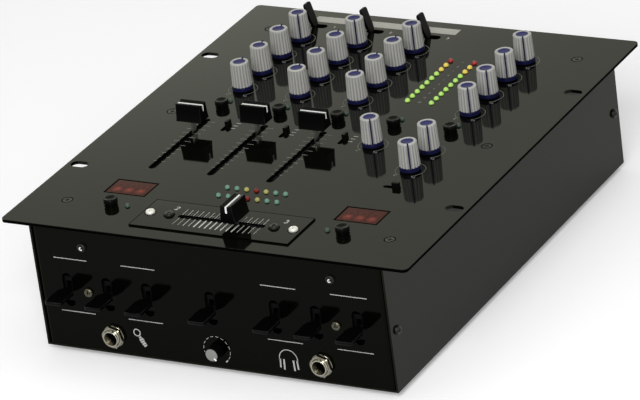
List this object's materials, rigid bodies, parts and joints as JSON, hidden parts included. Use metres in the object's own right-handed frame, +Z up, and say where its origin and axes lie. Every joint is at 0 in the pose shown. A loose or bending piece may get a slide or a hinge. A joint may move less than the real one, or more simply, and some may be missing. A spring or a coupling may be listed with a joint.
{
  "type": "dj mixer",
  "caption": "Desktop mixer for disc jockeys: ribbed rotary knobs, channel faders, a crossfader, kill levers and headphone and microphone sockets.",
  "frame": {"origin": "middle of the four mounting slots, on the plate's underside, where it lies on a mixer frame; the feet stand 80 mm lower", "axes": "+X to the right, +Y to the rear with the rear sockets, +Z up; the front panel with the levers faces -Y"},
  "size_m": [0.254, 0.321, 0.1],
  "materials": {
    "gloss_panel": "gloss lacquer over screen-printed lines",
    "satin_panel": "satin powder coat",
    "case_paint": "satin powder coat",
    "screw_steel": "black-zinc and bright steel",
    "foot_rubber": "matt",
    "red_window": "tinted clear window",
    "lamp_resin": "clear and tinted resin",
    "board_laminate": "solder mask",
    "pot_steel": "pressed steel",
    "black_plastic": "moulded",
    "knob_plastic": "moulded, ribbed, with a navy skirt, disc and line",
    "nickel": "nickel plate"
  },
  "bodies": {
    "case": {"top_panel": "gloss_panel", "front_panel": "satin_panel", "rear_panel": "satin_panel", "bottom_cover": "case_paint", "crossfader_plate": "gloss_panel", "case_screws": "screw_steel", "rubber_feet": "foot_rubber", "display_windows": "red_window", "lamps": "lamp_resin", "circuit_boards": "board_laminate", "potentiometers": "pot_steel", "switch_bodies": "black_plastic", "front_sockets": "nickel", "rear_sockets": "nickel"},
    "gain_knob_1": {"gain_knob_1": "knob_plastic"},
    "treble_knob_1": {"treble_knob_1": "knob_plastic"},
    "middle_knob_1": {"middle_knob_1": "knob_plastic"},
    "bass_knob_1": {"bass_knob_1": "knob_plastic"},
    "gain_knob_2": {"gain_knob_2": "knob_plastic"},
    "treble_knob_2": {"treble_knob_2": "knob_plastic"},
    "middle_knob_2": {"middle_knob_2": "knob_plastic"},
    "bass_knob_2": {"bass_knob_2": "knob_plastic"},
    "gain_knob_3": {"gain_knob_3": "knob_plastic"},
    "treble_knob_3": {"treble_knob_3": "knob_plastic"},
    "middle_knob_3": {"middle_knob_3": "knob_plastic"},
    "bass_knob_3": {"bass_knob_3": "knob_plastic"},
    "master_knob": {"master_knob": "knob_plastic"},
    "balance_knob": {"balance_knob": "knob_plastic"},
    "booth_knob": {"booth_knob": "knob_plastic"},
    "mic_knob": {"mic_knob": "knob_plastic"},
    "cue_mix_knob": {"cue_mix_knob": "knob_plastic"},
    "phones_knob": {"phones_knob": "knob_plastic"},
    "cue_tone_knob": {"cue_tone_knob": "knob_plastic"},
    "curve_knob": {"curve_knob": "black_plastic"},
    "channel_fader_1": {"channel_fader_1": "black_plastic"},
    "channel_fader_2": {"channel_fader_2": "black_plastic"},
    "channel_fader_3": {"channel_fader_3": "black_plastic"},
    "crossfader": {"crossfader": "black_plastic"},
    "input_lever_1": {"input_lever_1": "black_plastic"},
    "input_lever_2": {"input_lever_2": "black_plastic"},
    "input_lever_3": {"input_lever_3": "black_plastic"},
    "bass_kill_left": {"bass_kill_left": "black_plastic"},
    "middle_kill_left": {"middle_kill_left": "black_plastic"},
    "treble_kill_left": {"treble_kill_left": "black_plastic"},
    "reverse_lever": {"reverse_lever": "black_plastic"},
    "bass_kill_right": {"bass_kill_right": "black_plastic"},
    "middle_kill_right": {"middle_kill_right": "black_plastic"},
    "treble_kill_right": {"treble_kill_right": "black_plastic"},
    "cue_button_1": {"cue_button_1": "black_plastic"},
    "cue_button_2": {"cue_button_2": "black_plastic"},
    "cue_button_3": {"cue_button_3": "black_plastic"},
    "cue_button_4": {"cue_button_4": "black_plastic"},
    "cue_button_5": {"cue_button_5": "black_plastic"},
    "beat_button_left": {"beat_button_left": "black_plastic"},
    "beat_button_right": {"beat_button_right": "black_plastic"},
    "assign_switch_1": {"assign_switch_1": "black_plastic"},
    "assign_switch_2": {"assign_switch_2": "black_plastic"},
    "assign_switch_3": {"assign_switch_3": "black_plastic"},
    "meter_switch": {"meter_switch": "black_plastic"},
    "power_rocker": {"power_rocker": "black_plastic"}
  },
  "joints": [
    {"name": "gain_turn_1", "type": "hinge", "parent": "case", "child": "gain_knob_1", "pos_m": [-0.075, 0.109, 0.002], "axis": [0, 0, 1], "range_deg": [0, 300]},
    {"name": "treble_turn_1", "type": "hinge", "parent": "case", "child": "treble_knob_1", "pos_m": [-0.075, 0.085, 0.002], "axis": [0, 0, 1], "range_deg": [-150, 150]},
    {"name": "middle_turn_1", "type": "hinge", "parent": "case", "child": "middle_knob_1", "pos_m": [-0.075, 0.061, 0.002], "axis": [0, 0, 1], "range_deg": [-150, 150]},
    {"name": "bass_turn_1", "type": "hinge", "parent": "case", "child": "bass_knob_1", "pos_m": [-0.075, 0.037, 0.002], "axis": [0, 0, 1], "range_deg": [-150, 150]},
    {"name": "gain_turn_2", "type": "hinge", "parent": "case", "child": "gain_knob_2", "pos_m": [-0.037, 0.109, 0.002], "axis": [0, 0, 1], "range_deg": [0, 300]},
    {"name": "treble_turn_2", "type": "hinge", "parent": "case", "child": "treble_knob_2", "pos_m": [-0.037, 0.085, 0.002], "axis": [0, 0, 1], "range_deg": [-150, 150]},
    {"name": "middle_turn_2", "type": "hinge", "parent": "case", "child": "middle_knob_2", "pos_m": [-0.037, 0.061, 0.002], "axis": [0, 0, 1], "range_deg": [-150, 150]},
    {"name": "bass_turn_2", "type": "hinge", "parent": "case", "child": "bass_knob_2", "pos_m": [-0.037, 0.037, 0.002], "axis": [0, 0, 1], "range_deg": [-150, 150]},
    {"name": "gain_turn_3", "type": "hinge", "parent": "case", "child": "gain_knob_3", "pos_m": [0.001, 0.109, 0.002], "axis": [0, 0, 1], "range_deg": [0, 300]},
    {"name": "treble_turn_3", "type": "hinge", "parent": "case", "child": "treble_knob_3", "pos_m": [0.001, 0.085, 0.002], "axis": [0, 0, 1], "range_deg": [-150, 150]},
    {"name": "middle_turn_3", "type": "hinge", "parent": "case", "child": "middle_knob_3", "pos_m": [0.001, 0.061, 0.002], "axis": [0, 0, 1], "range_deg": [-150, 150]},
    {"name": "bass_turn_3", "type": "hinge", "parent": "case", "child": "bass_knob_3", "pos_m": [0.001, 0.037, 0.002], "axis": [0, 0, 1], "range_deg": [-150, 150]},
    {"name": "master_turn", "type": "hinge", "parent": "case", "child": "master_knob", "pos_m": [0.073, 0.109, 0.002], "axis": [0, 0, 1], "range_deg": [0, 300]},
    {"name": "balance_turn", "type": "hinge", "parent": "case", "child": "balance_knob", "pos_m": [0.073, 0.085, 0.002], "axis": [0, 0, 1], "range_deg": [0, 300]},
    {"name": "booth_turn", "type": "hinge", "parent": "case", "child": "booth_knob", "pos_m": [0.073, 0.061, 0.002], "axis": [0, 0, 1], "range_deg": [0, 300]},
    {"name": "mic_turn", "type": "hinge", "parent": "case", "child": "mic_knob", "pos_m": [0.073, 0.037, 0.002], "axis": [0, 0, 1], "range_deg": [0, 300]},
    {"name": "cue_mix_turn", "type": "hinge", "parent": "case", "child": "cue_mix_knob", "pos_m": [0.037, -0.014, 0.002], "axis": [0, 0, 1], "range_deg": [0, 300]},
    {"name": "phones_turn", "type": "hinge", "parent": "case", "child": "phones_knob", "pos_m": [0.073, -0.014, 0.002], "axis": [0, 0, 1], "range_deg": [0, 300]},
    {"name": "cue_tone_turn", "type": "hinge", "parent": "case", "child": "cue_tone_knob", "pos_m": [0.073, -0.038, 0.002], "axis": [0, 0, 1], "range_deg": [0, 300]},
    {"name": "curve_turn", "type": "hinge", "parent": "case", "child": "curve_knob", "pos_m": [0, -0.1465, -0.0648], "axis": [0, -1, 0], "range_deg": [0, 280]},
    {"name": "channel_slide_1", "type": "slide", "parent": "case", "child": "channel_fader_1", "axis": [0, 1, 0], "range_m": [-0.047, 0.013]},
    {"name": "channel_slide_2", "type": "slide", "parent": "case", "child": "channel_fader_2", "axis": [0, 1, 0], "range_m": [-0.054, 0.006]},
    {"name": "channel_slide_3", "type": "slide", "parent": "case", "child": "channel_fader_3", "axis": [0, 1, 0], "range_m": [-0.054, 0.006]},
    {"name": "cross_slide", "type": "slide", "parent": "case", "child": "crossfader", "axis": [1, 0, 0], "range_m": [-0.0315, 0.0135]},
    {"name": "input_swing_1", "type": "hinge", "parent": "case", "child": "input_lever_1", "pos_m": [-0.0735, 0.129, -0.007], "axis": [0, 1, 0], "range_deg": [0, 32]},
    {"name": "input_swing_2", "type": "hinge", "parent": "case", "child": "input_lever_2", "pos_m": [-0.0355, 0.129, -0.007], "axis": [0, 1, 0], "range_deg": [0, 32]},
    {"name": "input_swing_3", "type": "hinge", "parent": "case", "child": "input_lever_3", "pos_m": [0.0025, 0.129, -0.007], "axis": [0, 1, 0], "range_deg": [0, 32]},
    {"name": "bass_kill_left_swing", "type": "hinge", "parent": "case", "child": "bass_kill_left", "pos_m": [-0.0912, -0.1375, -0.0392], "axis": [1, 0, 0], "range_deg": [-18, 18]},
    {"name": "middle_kill_left_swing", "type": "hinge", "parent": "case", "child": "middle_kill_left", "pos_m": [-0.0657, -0.1375, -0.0392], "axis": [1, 0, 0], "range_deg": [-18, 18]},
    {"name": "treble_kill_left_swing", "type": "hinge", "parent": "case", "child": "treble_kill_left", "pos_m": [-0.0402, -0.1375, -0.0392], "axis": [1, 0, 0], "range_deg": [-18, 18]},
    {"name": "reverse_lever_swing", "type": "hinge", "parent": "case", "child": "reverse_lever", "pos_m": [0, -0.1375, -0.0392], "axis": [1, 0, 0], "range_deg": [-18, 18]},
    {"name": "bass_kill_right_swing", "type": "hinge", "parent": "case", "child": "bass_kill_right", "pos_m": [0.0402, -0.1375, -0.0392], "axis": [1, 0, 0], "range_deg": [-18, 18]},
    {"name": "middle_kill_right_swing", "type": "hinge", "parent": "case", "child": "middle_kill_right", "pos_m": [0.0657, -0.1375, -0.0392], "axis": [1, 0, 0], "range_deg": [-18, 18]},
    {"name": "treble_kill_right_swing", "type": "hinge", "parent": "case", "child": "treble_kill_right", "pos_m": [0.0912, -0.1375, -0.0392], "axis": [1, 0, 0], "range_deg": [-18, 18]},
    {"name": "cue_button_1_press", "type": "slide", "parent": "case", "child": "cue_button_1", "axis": [0, 0, -1], "range_m": [0, 0.0015], "stiffness_N_per_m": 400, "springref_m": -0.001},
    {"name": "cue_button_2_press", "type": "slide", "parent": "case", "child": "cue_button_2", "axis": [0, 0, -1], "range_m": [0, 0.0015], "stiffness_N_per_m": 400, "springref_m": -0.001},
    {"name": "cue_button_3_press", "type": "slide", "parent": "case", "child": "cue_button_3", "axis": [0, 0, -1], "range_m": [0, 0.0015], "stiffness_N_per_m": 400, "springref_m": -0.001},
    {"name": "cue_button_4_press", "type": "slide", "parent": "case", "child": "cue_button_4", "axis": [0, 0, -1], "range_m": [0, 0.0015], "stiffness_N_per_m": 400, "springref_m": -0.001},
    {"name": "cue_button_5_press", "type": "slide", "parent": "case", "child": "cue_button_5", "axis": [0, 0, -1], "range_m": [0, 0.0015], "stiffness_N_per_m": 400, "springref_m": -0.001},
    {"name": "beat_button_left_press", "type": "slide", "parent": "case", "child": "beat_button_left", "axis": [0, 0, -1], "range_m": [0, 0.0015], "stiffness_N_per_m": 400, "springref_m": -0.001},
    {"name": "beat_button_right_press", "type": "slide", "parent": "case", "child": "beat_button_right", "axis": [0, 0, -1], "range_m": [0, 0.0015], "stiffness_N_per_m": 400, "springref_m": -0.001},
    {"name": "assign_slide_1", "type": "slide", "parent": "case", "child": "assign_switch_1", "axis": [0, 1, 0], "range_m": [-0.005, 0]},
    {"name": "assign_slide_2", "type": "slide", "parent": "case", "child": "assign_switch_2", "axis": [0, 1, 0], "range_m": [-0.005, 0]},
    {"name": "assign_slide_3", "type": "slide", "parent": "case", "child": "assign_switch_3", "axis": [0, 1, 0], "range_m": [-0.005, 0]},
    {"name": "meter_slide", "type": "slide", "parent": "case", "child": "meter_switch", "axis": [1, 0, 0], "range_m": [-0.005, 0]},
    {"name": "power_swing", "type": "hinge", "parent": "case", "child": "power_rocker", "pos_m": [0.09, 0.1445, -0.03], "axis": [1, 0, 0], "range_deg": [-16, 0]}
  ]
}
